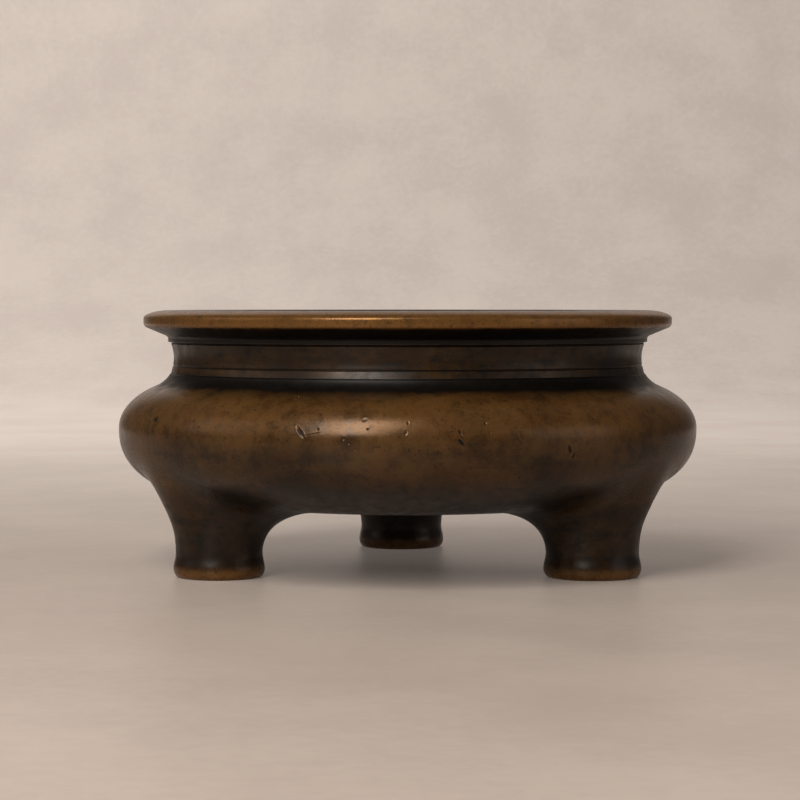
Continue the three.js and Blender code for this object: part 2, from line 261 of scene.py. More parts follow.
class BellyMap:
    """The bowl's outside below the neck, unrolled on a plane so that small shapes keep their form."""

    def __init__(self):
        flat = np.column_stack([np.linspace(0.5, BELLY_R - BELLY_TURN, 60), np.full(60, FLOOR_Z)])
        angle = math.degrees(math.acos((COVE_R - SHOULDER_R) / SHOULDER_TURN))
        shoulder = ellipse_arc(SHOULDER_R, WIDEST_Z, SHOULDER_TURN, SHOULDER_RISE, 0, angle, 300)
        line = np.vstack([flat, lower_curve(0, 600)[1:], shoulder[1:]])
        self.r, self.z = line[:, 0], line[:, 1]
        lengths = np.hypot(np.diff(self.r), np.diff(self.z))
        self.s = np.concatenate([[self.r[0]], self.r[0] + np.cumsum(lengths)])
        growth = lengths * 2 / (self.r[1:] + self.r[:-1])
        self.log_radius = np.concatenate([[0], np.cumsum(growth)]) + math.log(self.r[0])
        self.end = self.s[-1]
        self.below = int(np.argmax(self.r))

    def flat_point(self, s, bearing):
        """Where a point of the outline, turned to a bearing, lies on the plane."""
        radius = np.exp(np.interp(s, self.s, self.log_radius))
        return np.column_stack([radius * np.cos(bearing), radius * np.sin(bearing)])

    def solid_point(self, s, bearing):
        """The same point in space."""
        r = np.interp(s, self.s, self.r)
        return np.column_stack([r * np.cos(bearing), r * np.sin(bearing), np.interp(s, self.s, self.z)])

    def at_radius(self, r):
        """Distance along the outline of a radius on the lower curve."""
        return np.interp(r, self.r[: self.below], self.s[: self.below])

    def at_height(self, z):
        """Distance along the outline of a height above the flat underside."""
        start = 59
        return np.interp(z, self.z[start:], self.s[start:])


def leg_place(name):
    """A leg's centre, its distance from the axis and its bearing, from the CAD model."""
    low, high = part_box("leg_" + name)
    centre = (low + high) / 2 / MM
    return centre.x, centre.y, math.hypot(centre.x, centre.y), math.atan2(centre.y, centre.x)


def flare_points(name, direction, steps, start_z):
    """The flare in one upright plane through a leg's axis, from a height up to the belly, as reach and height."""
    _, _, leg_r, _ = leg_place(name)
    waist = LEG_WAISTS[name]
    offset = leg_r - ROOT_CIRCLE_R
    out, side = math.cos(direction), math.sin(direction)
    reach = math.sqrt(ROOT_R**2 - (offset * side) ** 2) - offset * out

    def height(s):
        return belly_height(math.hypot(leg_r + s * out, s * side))

    start, end = np.array([waist, WAIST_Z]), np.array([reach, height(reach)])
    along = np.array([0.05, height(reach) - height(reach - 0.05)])
    along = along / np.linalg.norm(along)
    span = np.linalg.norm(end - start)
    first, second = start + [0, LEG_EASE * span], end - along * BELLY_EASE * span

    def on_curve(t):
        t = np.atleast_1d(t)[:, None]
        return (1 - t) ** 3 * start + 3 * t * (1 - t) ** 2 * first + 3 * t**2 * (1 - t) * second + t**3 * end

    shares = np.linspace(0, 1, 400)
    start_t = np.interp(start_z, on_curve(shares)[:, 1], shares)
    return on_curve(np.linspace(start_t, 1, steps + 1))


def turned_ring(name, r, z):
    """A level ring round a leg's axis."""
    x, y, _, bearing = leg_place(name)
    angles = bearing + np.linspace(0, 2 * np.pi, LEG_SIDES, endpoint=False)
    return np.column_stack([x + r * np.cos(angles), y + r * np.sin(angles), np.full(LEG_SIDES, float(z))])


def flare_rings(name, steps, start_z, end_z=None):
    """Rings of the flare, each point in its own upright plane."""
    x, y, _, bearing = leg_place(name)
    directions = np.linspace(0, 2 * np.pi, LEG_SIDES, endpoint=False)
    planes = [flare_points(name, direction, 200, start_z) for direction in directions]
    rings = []
    for i in range(steps + 1):
        ring = []
        for direction, plane in zip(directions, planes):
            if end_z is None:
                share = i / steps * 200
                at = np.array([np.interp(share, np.arange(201), plane[:, k]) for k in (0, 1)])
            else:
                z = start_z + (end_z - start_z) * i / steps
                at = np.array([np.interp(z, plane[:, 1], plane[:, 0]), z])
            angle = bearing + direction
            ring.append((x + at[0] * math.cos(angle), y + at[0] * math.sin(angle), at[1]))
        rings.append(np.array(ring))
    return rings


class Skin:
    """Points and faces of one closed casting, gathered in millimetres."""

    def __init__(self):
        self.points = []
        self.faces = []
        self.count = 0

    def add(self, points):
        """Adds points and returns the number of the first."""
        first = self.count
        self.points.append(np.asarray(points, float))
        self.count += len(points)
        return first

    def stitch(self, first, second, count):
        """Joins two rings of the same count with four-sided faces."""
        for j in range(count):
            k = (j + 1) % count
            self.faces.append((first + j, first + k, second + k, second + j))

    def rings(self, rings, start=None):
        """Adds rings in turn, the first of them joined to a ring that is there already."""
        last = start
        for ring in rings:
            first = self.add(ring)
            if last is not None:
                self.stitch(last, first, len(ring))
            last = first
        return last

    def close(self, first, count, centre):
        """Closes a ring with a fan to one point."""
        middle = self.add([centre])
        for j in range(count):
            self.faces.append((first + j, first + (j + 1) % count, middle))

    def mesh(self, name):
        """The casting as a mesh in metres, its faces outward."""
        data = bpy.data.meshes.new(name)
        data.from_pydata([tuple(p) for p in np.vstack(self.points) * MM], [], self.faces)
        work = bmesh.new()
        work.from_mesh(data)
        bmesh.ops.recalc_face_normals(work, faces=work.faces)
        if work.calc_volume(signed=True) < 0:
            bmesh.ops.reverse_faces(work, faces=work.faces)
        work.to_mesh(data)
        work.free()
        return data


def inside_loop(points, loop):
    """Which points of a plane lie inside a closed loop."""
    x, y = points[:, 0][:, None], points[:, 1][:, None]
    ax, ay = loop[:, 0], loop[:, 1]
    bx, by = np.roll(ax, -1), np.roll(ay, -1)
    crosses = (ay > y) != (by > y)
    rise = np.where(by == ay, 1e-12, by - ay)
    return (crosses & (x < (bx - ax) * (y - ay) / rise + ax)).sum(1) % 2 == 1


def belly_points(plane, loops):
    """Points over the belly, close together at its nicks, outside the loops where the legs join."""
    places = [np.array([[plane.s[0], 0.0]])]
    s, shift = FLAT_STEP, 0.0
    while s < plane.end - 2.2 * STEP:
        r = float(np.interp(s, plane.s, plane.r))
        share = min(1.0, max(0.0, (r - 40) / 16))
        step = FLAT_STEP + (STEP - FLAT_STEP) * share
        count = max(6, round(2 * math.pi * r / step))
        bearings = (np.arange(count) + shift) * 2 * math.pi / count
        places.append(np.column_stack([np.full(count, s), bearings]))
        s += step * 0.866
        shift = 0.5 - shift
    base = np.vstack(places)
    solid = plane.solid_point(base[:, 0], base[:, 1])
    flat = plane.flat_point(base[:, 0], base[:, 1])
    keep = np.ones(len(base), bool)
    for loop_places in loops:
        loop_flat = plane.flat_point(loop_places[:, 0], loop_places[:, 1])
        loop_solid = plane.solid_point(loop_places[:, 0], loop_places[:, 1])
        keep &= ~inside_loop(flat, loop_flat)
        near = np.where(keep)[0]
        gaps = np.min(np.linalg.norm(solid[near][:, None] - loop_solid[None], axis=2), axis=1)
        keep[near[gaps < 0.65 * STEP]] = False
    spots, owners, centres, reaches = [], [], [], []
    for i, (bearing, height, length, width, *_) in enumerate(MARKS):
        angle, s0 = math.radians(bearing), float(plane.at_height(height))
        around = fine_disc(length, width)
        reaches.append(float(np.max(np.hypot(around[:, 0], around[:, 1]))))
        radius = float(np.interp(s0, plane.s, plane.r))
        spots.append(np.column_stack([s0 + around[:, 1], angle + around[:, 0] / radius]))
        owners.append(np.full(len(around), i))
        centres.append(plane.solid_point(np.array([s0]), np.array([angle]))[0])
    spots, owners, centres, reaches = np.vstack(spots), np.concatenate(owners), np.array(centres), np.array(reaches)
    gaps = np.linalg.norm(solid[:, None] - centres[None], axis=2)
    keep &= (gaps > reaches).all(1)
    spots_solid = plane.solid_point(spots[:, 0], spots[:, 1])
    gaps = np.linalg.norm(spots_solid[:, None] - centres[None], axis=2)
    gaps[gaps > reaches * 1.001] = np.inf
    own = np.argmin(gaps, axis=1) == owners
    return np.vstack([base[keep], thinned(spots[own], spots_solid[own], 0.09)])


def fine_disc(length, width):
    """Points round a nick, close together in it and wider apart towards the plain surface."""
    core = 1.7 * max(length, width)
    distance, step = 0.0, max(0.16, min(length, width) / 2.2)
    points = [(0.0, 0.0)]
    while step < 0.8 * STEP:
        distance += step
        count = max(6, round(2 * math.pi * distance / step))
        angles = np.linspace(0, 2 * math.pi, count, endpoint=False)
        points.extend((distance * math.cos(angle), distance * math.sin(angle)) for angle in angles)
        if distance > core:
            step *= 1.25
    return np.array(points)


def thinned(places, points, least):
    """The places whose points lie at least that far from every earlier one."""
    tree = KDTree(len(points))
    for i, p in enumerate(points):
        tree.insert(p, i)
    tree.balance()
    dropped = set()
    for i, p in enumerate(points):
        if i not in dropped:
            dropped.update(j for _, j, _ in tree.find_range(p, least) if j > i)
    return places[[i for i in range(len(points)) if i not in dropped]]


def bowl_mesh():
    """The bowl: belly with its leg roots, neck, lip, inside and the sockets round the leg plugs."""
    plane = BellyMap()
    skin = Skin()
    loops, root_rings = [], []
    for name in LEG_WAISTS:
        rings = flare_rings(name, 24, JOINT_Z + HAIR)
        edge = rings[-1]
        loops.append(np.column_stack([
            plane.at_radius(np.hypot(edge[:, 0], edge[:, 1])),
            np.arctan2(edge[:, 1], edge[:, 0]),
        ]))
        root_rings.append(rings)
    places = belly_points(plane, loops)
    bearings = np.arange(SIDES) * 2 * math.pi / SIDES
    border = np.column_stack([np.full(SIDES, plane.end), bearings])
    inner_border = np.column_stack([np.full(SIDES, plane.end - STEP), bearings + math.pi / SIDES])
    everything = np.vstack([*loops, border, inner_border, places])
    flat = plane.flat_point(everything[:, 0], everything[:, 1])
    edges = []
    for start, count in [(i * LEG_SIDES, LEG_SIDES) for i in range(len(loops))] + [(len(loops) * LEG_SIDES, SIDES)]:
        edges.extend((start + j, start + (j + 1) % count) for j in range(count))
    made = delaunay_2d_cdt([Vector(p) for p in flat], edges, [], 0, 1e-7)
    source = [group[0] if group else None for group in made[3]]
    if None in source or len(source) != len(everything):
        raise RuntimeError("the belly's points fell together")
    faces = np.array(made[2])
    plane_points = np.array([flat[i] for i in source])
    middles = plane_points[faces].mean(1)
    outside = np.ones(len(faces), bool)
    for i in range(len(loops)):
        outside &= ~inside_loop(middles, flat[i * LEG_SIDES : (i + 1) * LEG_SIDES])
    first = skin.add(plane.solid_point(everything[:, 0], everything[:, 1]))
    number = np.array(source) + first
    skin.faces.extend(tuple(int(n) for n in number[face]) for face in faces[outside])
    for i, (name, rings) in enumerate(zip(LEG_WAISTS, root_rings)):
        x, y, _, _ = leg_place(name)
        plug = LEG_WAISTS[name] - LEDGE + 2 * HAIR
        socket = [
            turned_ring(name, plug, JOINT_Z + HAIR),
            turned_ring(name, plug + DOVETAIL, JOINT_Z + PLUG_RISE),
        ]
        last = skin.rings([*rings[:-1][::-1], *socket], start=first + i * LEG_SIDES)
        skin.close(last, LEG_SIDES, (x, y, JOINT_Z + PLUG_RISE))
    upper = softened(np.vstack([neck_outline(), lip_outline(), inside_outline()]), 0.16)[1:]
    turned = [
        np.column_stack([r * np.cos(bearings), r * np.sin(bearings), np.full(SIDES, z)]) for r, z in upper
    ]
    last = skin.rings(turned, start=first + len(loops) * LEG_SIDES)
    skin.close(last, SIDES, (0, 0, FLOOR_Z + WALL))
    return skin.mesh("worn_bowl")


def foot_mesh(name):
    """One hollow leg: the clay's hollow, the flat sole, the rounded foot, the start of the flare and the plug."""
    x, y, _, _ = leg_place(name)
    waist = LEG_WAISTS[name]
    sole = waist + SOLE_FLARE
    hollow = waist - LEG_WALL
    narrow = waist - LEDGE - PLUG_WALL
    hollow_top = JOINT_Z - JOINT_GAP + PLUG_RISE - PLUG_WALL + JOINT_GAP
    dome = ellipse_arc(0, hollow_top - narrow / 2, narrow, narrow / 2, 90, 0, 5)[1:]
    plug = waist - LEDGE
    outline = np.vstack([
        dome,
        [(narrow, CORE_STEP_Z + CORE_STEP_RISE), (hollow, CORE_STEP_Z), (hollow, 0.4), (hollow + 0.4, 0)],
        ellipse_arc(sole - SOLE_EDGE, SOLE_EDGE_RISE, SOLE_EDGE, SOLE_EDGE_RISE, -90, 0, 12),
    ])
    rings = [turned_ring(name, r, z) for r, z in outline]
    for share in np.linspace(0, 1, 7)[1:]:
        ease = 0.5 + 0.5 * math.cos(math.pi * share)
        rings.append(turned_ring(name, waist + SOLE_FLARE * ease, SOLE_EDGE_RISE + (WAIST_Z - SOLE_EDGE_RISE) * share))
    rings.extend(flare_rings(name, 6, WAIST_Z + 0.4, JOINT_Z - HAIR))
    rings.append(turned_ring(name, plug, JOINT_Z - HAIR))
    rings.append(turned_ring(name, plug + DOVETAIL, JOINT_Z + PLUG_RISE - 2 * HAIR))
    skin = Skin()
    last = skin.rings(rings)
    skin.close(0, LEG_SIDES, (x, y, hollow_top))
    skin.close(last, LEG_SIDES, (x, y, JOINT_Z + PLUG_RISE - 2 * HAIR))
    return skin.mesh("worn_foot_" + name)


# Wear

def mark_frames():
    """Each nick's centre and its three directions: along its length, across it and out of the surface."""
    plane = BellyMap()
    frames = []
    for bearing, height, length, width, depth, lean in MARKS:
        angle, s0 = math.radians(bearing), float(plane.at_height(height))
        centre, above = plane.solid_point(np.array([s0, s0 + 0.5]), np.array([angle, angle]))
        side = np.array([-math.sin(angle), math.cos(angle), 0])
        up = (above - centre) / np.linalg.norm(above - centre)
        turn = math.radians(lean)
        long_way = up * math.cos(turn) + side * math.sin(turn)
        frames.append((centre, long_way, np.cross(long_way, np.cross(side, up)), length, width, depth))
    return frames


def worn(data, wave, nicks):
    """Moves a casting's surface in by its unevenness and its nicks, and returns how far in a nick each point is."""
    count = len(data.vertices)
    points = np.empty(count * 3)
    data.vertices.foreach_get("co", points)
    points = points.reshape(-1, 3)
    normals = np.array([v.normal for v in data.vertices])
    mm = points / MM
    depth = np.zeros(count)
    nicked = np.zeros(count)
    for i, p in enumerate(mm):
        share = 0.5 + 0.4 * noise.noise(Vector(p) / 30) + 0.06 * noise.noise(Vector(p) / 11)
        hold = min(1.0, max(0.0, (p[2] - 0.5) / 3), abs(p[2] - JOINT_Z) / 4)
        depth[i] = wave * min(1.0, max(0.0, share)) * hold
    if nicks:
        for centre, long_way, across, length, width, deep in mark_frames():
            offset = mm - centre
            near = np.where(np.linalg.norm(offset, axis=1) < 4 * max(length, width))[0]
            q = np.hypot(offset[near] @ long_way / length, offset[near] @ across / width)
            depth[near] += deep * np.exp(-(q**2.6)) - 0.16 * deep * np.exp(-(((q - 1.6) / 0.4) ** 2))
            nicked[near] = np.maximum(nicked[near], min(1.0, 0.2 + 1.2 * deep) * np.exp(-(q**2.6)))
    data.vertices.foreach_set("co", (points - normals * depth[:, None] * MM).ravel())
    data.update()
    return nicked


def smooth_between(low, high, value):
    """0 below low, 1 above high, and an eased step between."""
    t = np.clip((value - low) / (high - low), 0, 1)
    return t * t * (3 - 2 * t)


def paint_wear_and_shade(data, nicked):
    """Stores where dark patina and deposits gather, where shade is painted under the lip and on faces that look down,
    how much darker the neck, the legs and the bowl's inside are made, and where handling has rubbed the metal bright.
    """
    points = np.empty(len(data.vertices) * 3)
    data.vertices.foreach_get("co", points)
    p = points.reshape(-1, 3) / MM
    normals = np.array([v.normal for v in data.vertices])
    r, z = np.hypot(p[:, 0], p[:, 1]), p[:, 2]
    outside = r > MOUTH_R + 2
    cove = smooth_between(COVE_Z - 2.6, COVE_Z + 3.2, z) * (1 - smooth_between(LOWER_BAND_Z, LOWER_BAND_Z + 0.8, z))
    # Painted shadow of the lip's overhang, over the neck's upper band and the lip's underside, fading towards the rim.
    lip_shadow = smooth_between(UPPER_BAND_Z - 0.4, LIP_Z, z) * (1 - smooth_between(RIM_R - 6, RIM_R - 2.6, r))
    lip_shadow *= 1 - smooth_between(LIP_Z + LIP_SLOPE, LIP_Z + LIP_SLOPE + 2, z)
    lines = np.zeros(len(p))
    for line in (MIDDLE_BAND_Z, UPPER_BAND_Z):
        lines = np.maximum(lines, 1 - np.clip(np.abs(z - line) / (LINE_WIDTH * 0.5), 0, 1))
    # The neck's bands are made a third darker.
    neck = smooth_between(LOWER_BAND_Z, MIDDLE_BAND_Z, z) * (1 - smooth_between(LIP_Z, LIP_Z + 1, z))
    # Painted shade on faces that look down, except near the sole.
    under = smooth_between(0.35, 0.95, -normals[:, 2]) * (z > SOLE_EDGE_RISE + 1)
    # Darker inside the bowl, and on the legs below 22 mm, easing off by 42 mm and fading out towards the sole.
    inside = (~outside) & (z > FLOOR_Z + WALL - 1)
    legs = 0.36 * (1 - smooth_between(22, 42, z)) * smooth_between(2.5, 6, z)
    grime_and_shade = np.maximum.reduce([
        cove * outside, lip_shadow * outside, lines * outside, 0.33 * neck * outside, 0.4 * under, 0.8 * inside, legs, nicked,
    ])
    lip = smooth_between(LIP_Z + LIP_SLOPE - 0.6, LIP_Z + LIP_SLOPE + 0.8, z) * smooth_between(RIM_R - 7, RIM_R - 2, r)
    sole = 0.7 - 0.7 * smooth_between(SOLE_EDGE_RISE - 2, SOLE_EDGE_RISE + 2, z)
    belly = 0.42 * smooth_between(47, 60, z) * (1 - smooth_between(COVE_Z - 5, COVE_Z - 1, z))
    wear = np.maximum.reduce([lip, sole, belly * outside])
    for name, values in (("grime_and_shade", grime_and_shade), ("wear", wear)):
        layer = data.attributes.new(name, "FLOAT", "POINT")
        layer.data.foreach_set("value", values.astype(np.float32))


# Materials

def linear(hex_colour):
    """A colour written as on a screen, as the light it stands for."""
    values = [int(hex_colour[i : i + 2], 16) / 255 for i in (1, 3, 5)]
    return (*[v / 12.92 if v <= 0.04045 else ((v + 0.055) / 1.055) ** 2.4 for v in values], 1.0)


def add_node(tree, kind, values=None, links=None, **settings):
    """Adds a node, sets its options and sockets, and links sockets to it."""
    node = tree.nodes.new(kind)
    for key, value in settings.items():
        setattr(node, key, value)
    for key, value in (values or {}).items():
        node.inputs[key].default_value = value
    for key, output in (links or {}).items():
        tree.links.new(output, node.inputs[key])
    return node


class Finish:
    """A material under construction, whose patterns are given in millimetres."""

    def __init__(self, name):
        self.material = bpy.data.materials.new(name)
        self.material.use_nodes = True
        self.tree = self.material.node_tree
        self.tree.nodes.clear()
        self.place = add_node(self.tree, "ShaderNodeTexCoord").outputs["Object"]

    def add(self, kind, values=None, links=None, **settings):
        return add_node(self.tree, kind, values, links, **settings)

    def cloud(self, size_mm, detail=4.0, roughness=0.55, stretch=None, seed=0.0):
        """Noise whose blotches are about size_mm wide, stretched round the axis where asked."""
        scale = (1.0, 1.0, 1.0) if stretch is None else (1 / stretch, 1 / stretch, 1.0)
        mapped = self.add("ShaderNodeMapping", {"Location": (seed, seed * 0.7, 0), "Scale": scale}, {"Vector": self.place})
        values = {"Scale": 1 / (size_mm * MM), "Detail": detail, "Roughness": roughness}
        return self.add("ShaderNodeTexNoise", values, {"Vector": mapped.outputs[0]}).outputs["Fac"]

    def steps(self, value, low, high):
        """0 below low, 1 above high."""
        values = {"From Min": low, "From Max": high}
        return self.add("ShaderNodeMapRange", values, {"Value": value}, interpolation_type="SMOOTHSTEP").outputs[0]

    def sum_of(self, a, b, share):
        """a plus a share of b."""
        node = self.add("ShaderNodeMath", {1: share}, {0: b, 2: a}, operation="MULTIPLY_ADD")
        return node.outputs[0]

    def product(self, a, b):
        node = self.add("ShaderNodeMath", None, {0: a}, operation="MULTIPLY")
        if isinstance(b, (int, float)):
            node.inputs[1].default_value = b
        else:
            self.tree.links.new(b, node.inputs[1])
        return node.outputs[0]

    def mix(self, share, a, b):
        """Colour a turning to b where share is 1; either is a colour or an output."""
        node = self.add("ShaderNodeMix", None, {0: share}, data_type="RGBA")
        for socket, value in ((node.inputs[6], a), (node.inputs[7], b)):
            if isinstance(value, tuple):
                socket.default_value = value
            else:
                self.tree.links.new(value, socket)
        return node.outputs[2]

    def attribute(self, name):
        return self.add("ShaderNodeAttribute", attribute_name=name).outputs["Fac"]

    def done(self, values, links):
        shader = self.add("ShaderNodeBsdfPrincipled", values, links)
        output = self.add("ShaderNodeOutputMaterial")
        self.tree.links.new(shader.outputs[0], output.inputs[0])
        return self.material


def bronze_finish(colours):
    """Cast leaded bronze under a waxed brown patina: mottled, dark in its hollows, with painted shade under the lip
    and on faces that look down, rubbed golden on the edges.
    """
    made = Finish("waxed_bronze")
    broad = made.cloud(26, 5, 0.62, seed=0.31)
    mottle = made.cloud(5.5, 6, 0.66, seed=0.11)
    bands = made.cloud(3.2, 4, 0.6, stretch=9, seed=0.53)
    fine = made.cloud(0.8, 3, 0.6)
    red = made.cloud(11, 4, 0.6, seed=0.77)
    green = made.cloud(15, 5, 0.65, seed=0.19)
    grime_and_shade = made.attribute("grime_and_shade")
    wear = made.attribute("wear")
    shade = made.sum_of(broad, mottle, 0.55)
    shade = made.sum_of(shade, bands, 0.3)
    colour = made.mix(made.steps(shade, 0.72, 1.1), linear(colours.dark_patina), linear(colours.patina))
    colour = made.mix(made.product(made.steps(red, 0.48, 0.7), 0.4), colour, linear(colours.red_patina))
    colour = made.mix(made.product(made.steps(green, 0.5, 0.7), 0.3), colour, linear(colours.green_patina))
    rubbed = made.product(wear, made.steps(made.sum_of(mottle, fine, 0.35), 0.42, 0.78))
    rubbed = made.sum_of(made.product(wear, 0.35), rubbed, 0.65)
    colour = made.mix(rubbed, colour, linear(colours.rubbed_metal))
    # Mixes in the dark colour by the stored share: patina and deposits in the hollows, and painted shade under the lip
    # and on faces that look down, broken up by the mottle.
    dirt_and_shade = made.steps(made.sum_of(grime_and_shade, made.sum_of(mottle, bands, 0.6), 0.8), 0.68, 1.2)
    colour = made.mix(dirt_and_shade, colour, linear(colours.grime_and_shade))
    speckle = made.product(made.steps(made.sum_of(fine, made.cloud(2.2, 3, 0.7, seed=0.91), 0.8), 0.98, 1.14), 0.6)
    colour = made.mix(speckle, colour, linear(colours.grime_and_shade))
    roughness = made.sum_of(made.product(mottle, 0.3), fine, 0.1)
    roughness = made.sum_of(roughness, dirt_and_shade, 0.12)
    roughness = made.add("ShaderNodeMath", {1: 0.08}, {0: roughness}, operation="ADD").outputs[0]
    metal = made.add("ShaderNodeMath", {1: 0.4, 2: 0.12}, {0: rubbed}, operation="MULTIPLY_ADD").outputs[0]
    cells = made.add("ShaderNodeTexVoronoi", {"Scale": 1 / (3 * MM)}, {"Vector": made.place}).outputs["Distance"]
    pits = made.product(made.steps(cells, 0.15, 0.04), made.steps(red, 0.52, 0.6))
    height = made.sum_of(made.product(fine, 0.22), bands, 0.2)
    height = made.sum_of(height, mottle, 0.1)
    height = made.sum_of(height, pits, -1.0)
    bump = made.add("ShaderNodeBump", {"Strength": 0.35, "Distance": 0.09 * MM}, {"Height": height}).outputs[0]
    return made.done(
        {"Specular IOR Level": 0.3},
        {"Base Color": colour, "Roughness": roughness, "Metallic": metal, "Normal": bump},
    )


def clay_finish(colours):
    """Fired casting clay: sandy and matt, with burnt patches and pale grains."""
    made = Finish("fired_clay")
    grain = made.cloud(0.7, 3, 0.7)
    patch = made.cloud(6, 4, 0.6, seed=0.4)
    colour = made.mix(made.steps(patch, 0.35, 0.65), linear(colours.clay), linear(colours.dark_clay))
    colour = made.mix(made.product(made.steps(grain, 0.55, 0.7), 0.5), colour, linear("#9a8a74"))
    bump = made.add("ShaderNodeBump", {"Strength": 0.8, "Distance": 0.3 * MM}, {"Height": grain}).outputs[0]
    return made.done({"Roughness": 0.95}, {"Base Color": colour, "Normal": bump})


def grain_finish():
    """Pale mineral grains caught in the dark deposit under the neck."""
    made = Finish("mineral_grain")
    patch = made.cloud(0.5, 2, 0.6)
    colour = made.mix(patch, linear("#d8cdbb"), linear("#8d7c66"))
    return made.done({"Roughness": 0.7}, {"Base Color": colour})


def paper_finish(colours):
    """Painted studio cloth: matt and faintly blotched, and lit with painted light: it glows for camera, reflection and
    transmission rays, faintly over the floor, brighter where it rises behind the burner and towards the left, and
    fading out past half a metre to either side.
    """
    made = Finish("studio_cloth")
    patch = made.sum_of(made.product(made.cloud(90, 5, 0.6), 0.7), made.cloud(6, 3, 0.6), 0.3)
    base = made.mix(made.steps(patch, 0.35, 0.65), linear(colours.paper), linear(colours.paper_blotch))
    place = made.add("ShaderNodeSeparateXYZ", None, {0: made.place}).outputs
    behind = made.add("ShaderNodeMath", None, {0: place[1], 1: place[2]}, operation="ADD").outputs[0]
    # Painted light, graded: faint over the floor and full where the cloth rises behind, brighter on the left than the
    # right, gone far to the sides.
    risen = made.add(
        "ShaderNodeMapRange", {"From Min": 0, "From Max": 0.95, "To Min": 0.15, "To Max": 1}, {"Value": behind}
    ).outputs[0]
    across = made.add(
        "ShaderNodeMapRange", {"From Min": -0.4, "From Max": 0.4, "To Min": 1.12, "To Max": 0.84}, {"Value": place[0]}
    ).outputs[0]
    path = made.add("ShaderNodeLightPath").outputs
    seen = made.add("ShaderNodeMath", None, {0: path["Is Camera Ray"], 1: path["Is Glossy Ray"]}, operation="ADD")
    seen = made.add(
        "ShaderNodeMath", None, {0: seen.outputs[0], 1: path["Is Transmission Ray"]}, operation="ADD"
    ).outputs[0]
    aside = made.add("ShaderNodeMath", None, {0: place[0]}, operation="ABSOLUTE").outputs[0]
    across = made.product(across, made.steps(aside, 1.1, 0.5))
    painted_glow = made.product(made.product(risen, across), made.product(seen, 0.86))
    return made.done({"Roughness": 0.42}, {"Base Color": base, "Emission Color": base, "Emission Strength": painted_glow})


def shown(name, data, material, nodes):
    """Puts a mesh in the scene as a piece of the burner."""
    if data.materials:
        data.materials[0] = material
    else:
        data.materials.append(material)
    for polygon in data.polygons:
        polygon.use_smooth = True
    data.set_sharp_from_angle(angle=math.radians(50))
    piece = bpy.data.objects.new(name, data)
    bpy.context.scene.collection.objects.link(piece)
    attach(piece, BODY)
    if nodes:
        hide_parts(*nodes)
    return piece


# Geometry trees

def new_tree(name, inputs):
    """A geometry tree with named inputs, each a name, a socket type and a default."""
    tree = bpy.data.node_groups.new(name, "GeometryNodeTree")
    tree.interface.new_socket("Geometry", in_out="INPUT", socket_type="NodeSocketGeometry")
    for label, kind, value in inputs:
        socket = tree.interface.new_socket(label, in_out="INPUT", socket_type=kind)
        if value is not None:
            socket.default_value = value
    tree.interface.new_socket("Geometry", in_out="OUTPUT", socket_type="NodeSocketGeometry")
    return tree


def finish_tree(tree, source, geometry):
    """Realizes a tree's instances, sets their material and ends it."""
    real = add_node(tree, "GeometryNodeRealizeInstances", None, {0: geometry})
    painted = add_node(
        tree, "GeometryNodeSetMaterial", None, {"Geometry": real.outputs[0], "Material": source.outputs["Material"]}
    )
    add_node(tree, "NodeGroupOutput", None, {0: painted.outputs[0]})


def made_by(tree, name, start, values):
    """Runs a tree on a mesh and returns the plain mesh that it makes."""
    work = bpy.data.objects.new(name, start)
    bpy.context.scene.collection.objects.link(work)
    modifier = work.modifiers.new(tree.name, "NODES")
    modifier.node_group = tree
    for item in tree.interface.items_tree:
        if item.item_type == "SOCKET" and item.in_out == "INPUT" and item.name in values:
            modifier[item.identifier] = values[item.name]
    evaluated = work.evaluated_get(bpy.context.evaluated_depsgraph_get())
    data = bpy.data.meshes.new_from_object(evaluated)
    bpy.data.objects.remove(work)
    data.name = name
    return data


def chaplet_tree():
    """One square spacer in the middle of the floor and three round it."""
    tree = new_tree("Chaplets", [
        ("Side", "NodeSocketFloat", 0.006),
        ("Thickness", "NodeSocketFloat", 0.005),
        ("Spread", "NodeSocketFloat", 0.034),
        ("Height", "NodeSocketFloat", 0.025),
        ("Material", "NodeSocketMaterial", None),
    ])
    source = add_node(tree, "NodeGroupInput")
    ring = add_node(tree, "GeometryNodeMeshCircle", {"Vertices": 3}, {"Radius": source.outputs["Spread"]})
    middle = add_node(tree, "GeometryNodeMeshLine", {"Count": 1})
    spots = add_node(tree, "GeometryNodeJoinGeometry")
    for mesh in (ring, middle):
        tree.links.new(mesh.outputs["Mesh"], spots.inputs[0])
    size = add_node(
        tree, "ShaderNodeCombineXYZ", None,
        {0: source.outputs["Side"], 1: source.outputs["Side"], 2: source.outputs["Thickness"]},
    )
    block = add_node(tree, "GeometryNodeMeshCube", None, {"Size": size.outputs[0]})
    place = add_node(tree, "GeometryNodeInputPosition")
    angle = add_node(tree, "ShaderNodeSeparateXYZ", None, {0: place.outputs[0]})
    bearing = add_node(
        tree, "ShaderNodeMath", None, {0: angle.outputs[1], 1: angle.outputs[0]}, operation="ARCTAN2"
    )
    quarter = add_node(tree, "ShaderNodeMath", {1: math.pi / 4}, {0: bearing.outputs[0]}, operation="ADD")
    turn = add_node(tree, "ShaderNodeCombineXYZ", None, {2: quarter.outputs[0]})
    copies = add_node(
        tree, "GeometryNodeInstanceOnPoints", None,
        {"Points": spots.outputs[0], "Instance": block.outputs["Mesh"], "Rotation": turn.outputs[0]},
    )
    lift = add_node(tree, "ShaderNodeCombineXYZ", None, {2: source.outputs["Height"]})
    raised = add_node(
        tree, "GeometryNodeTranslateInstances", {"Local Space": False},
        {"Instances": copies.outputs[0], "Translation": lift.outputs[0]},
    )
    finish_tree(tree, source, raised.outputs[0])
    return tree


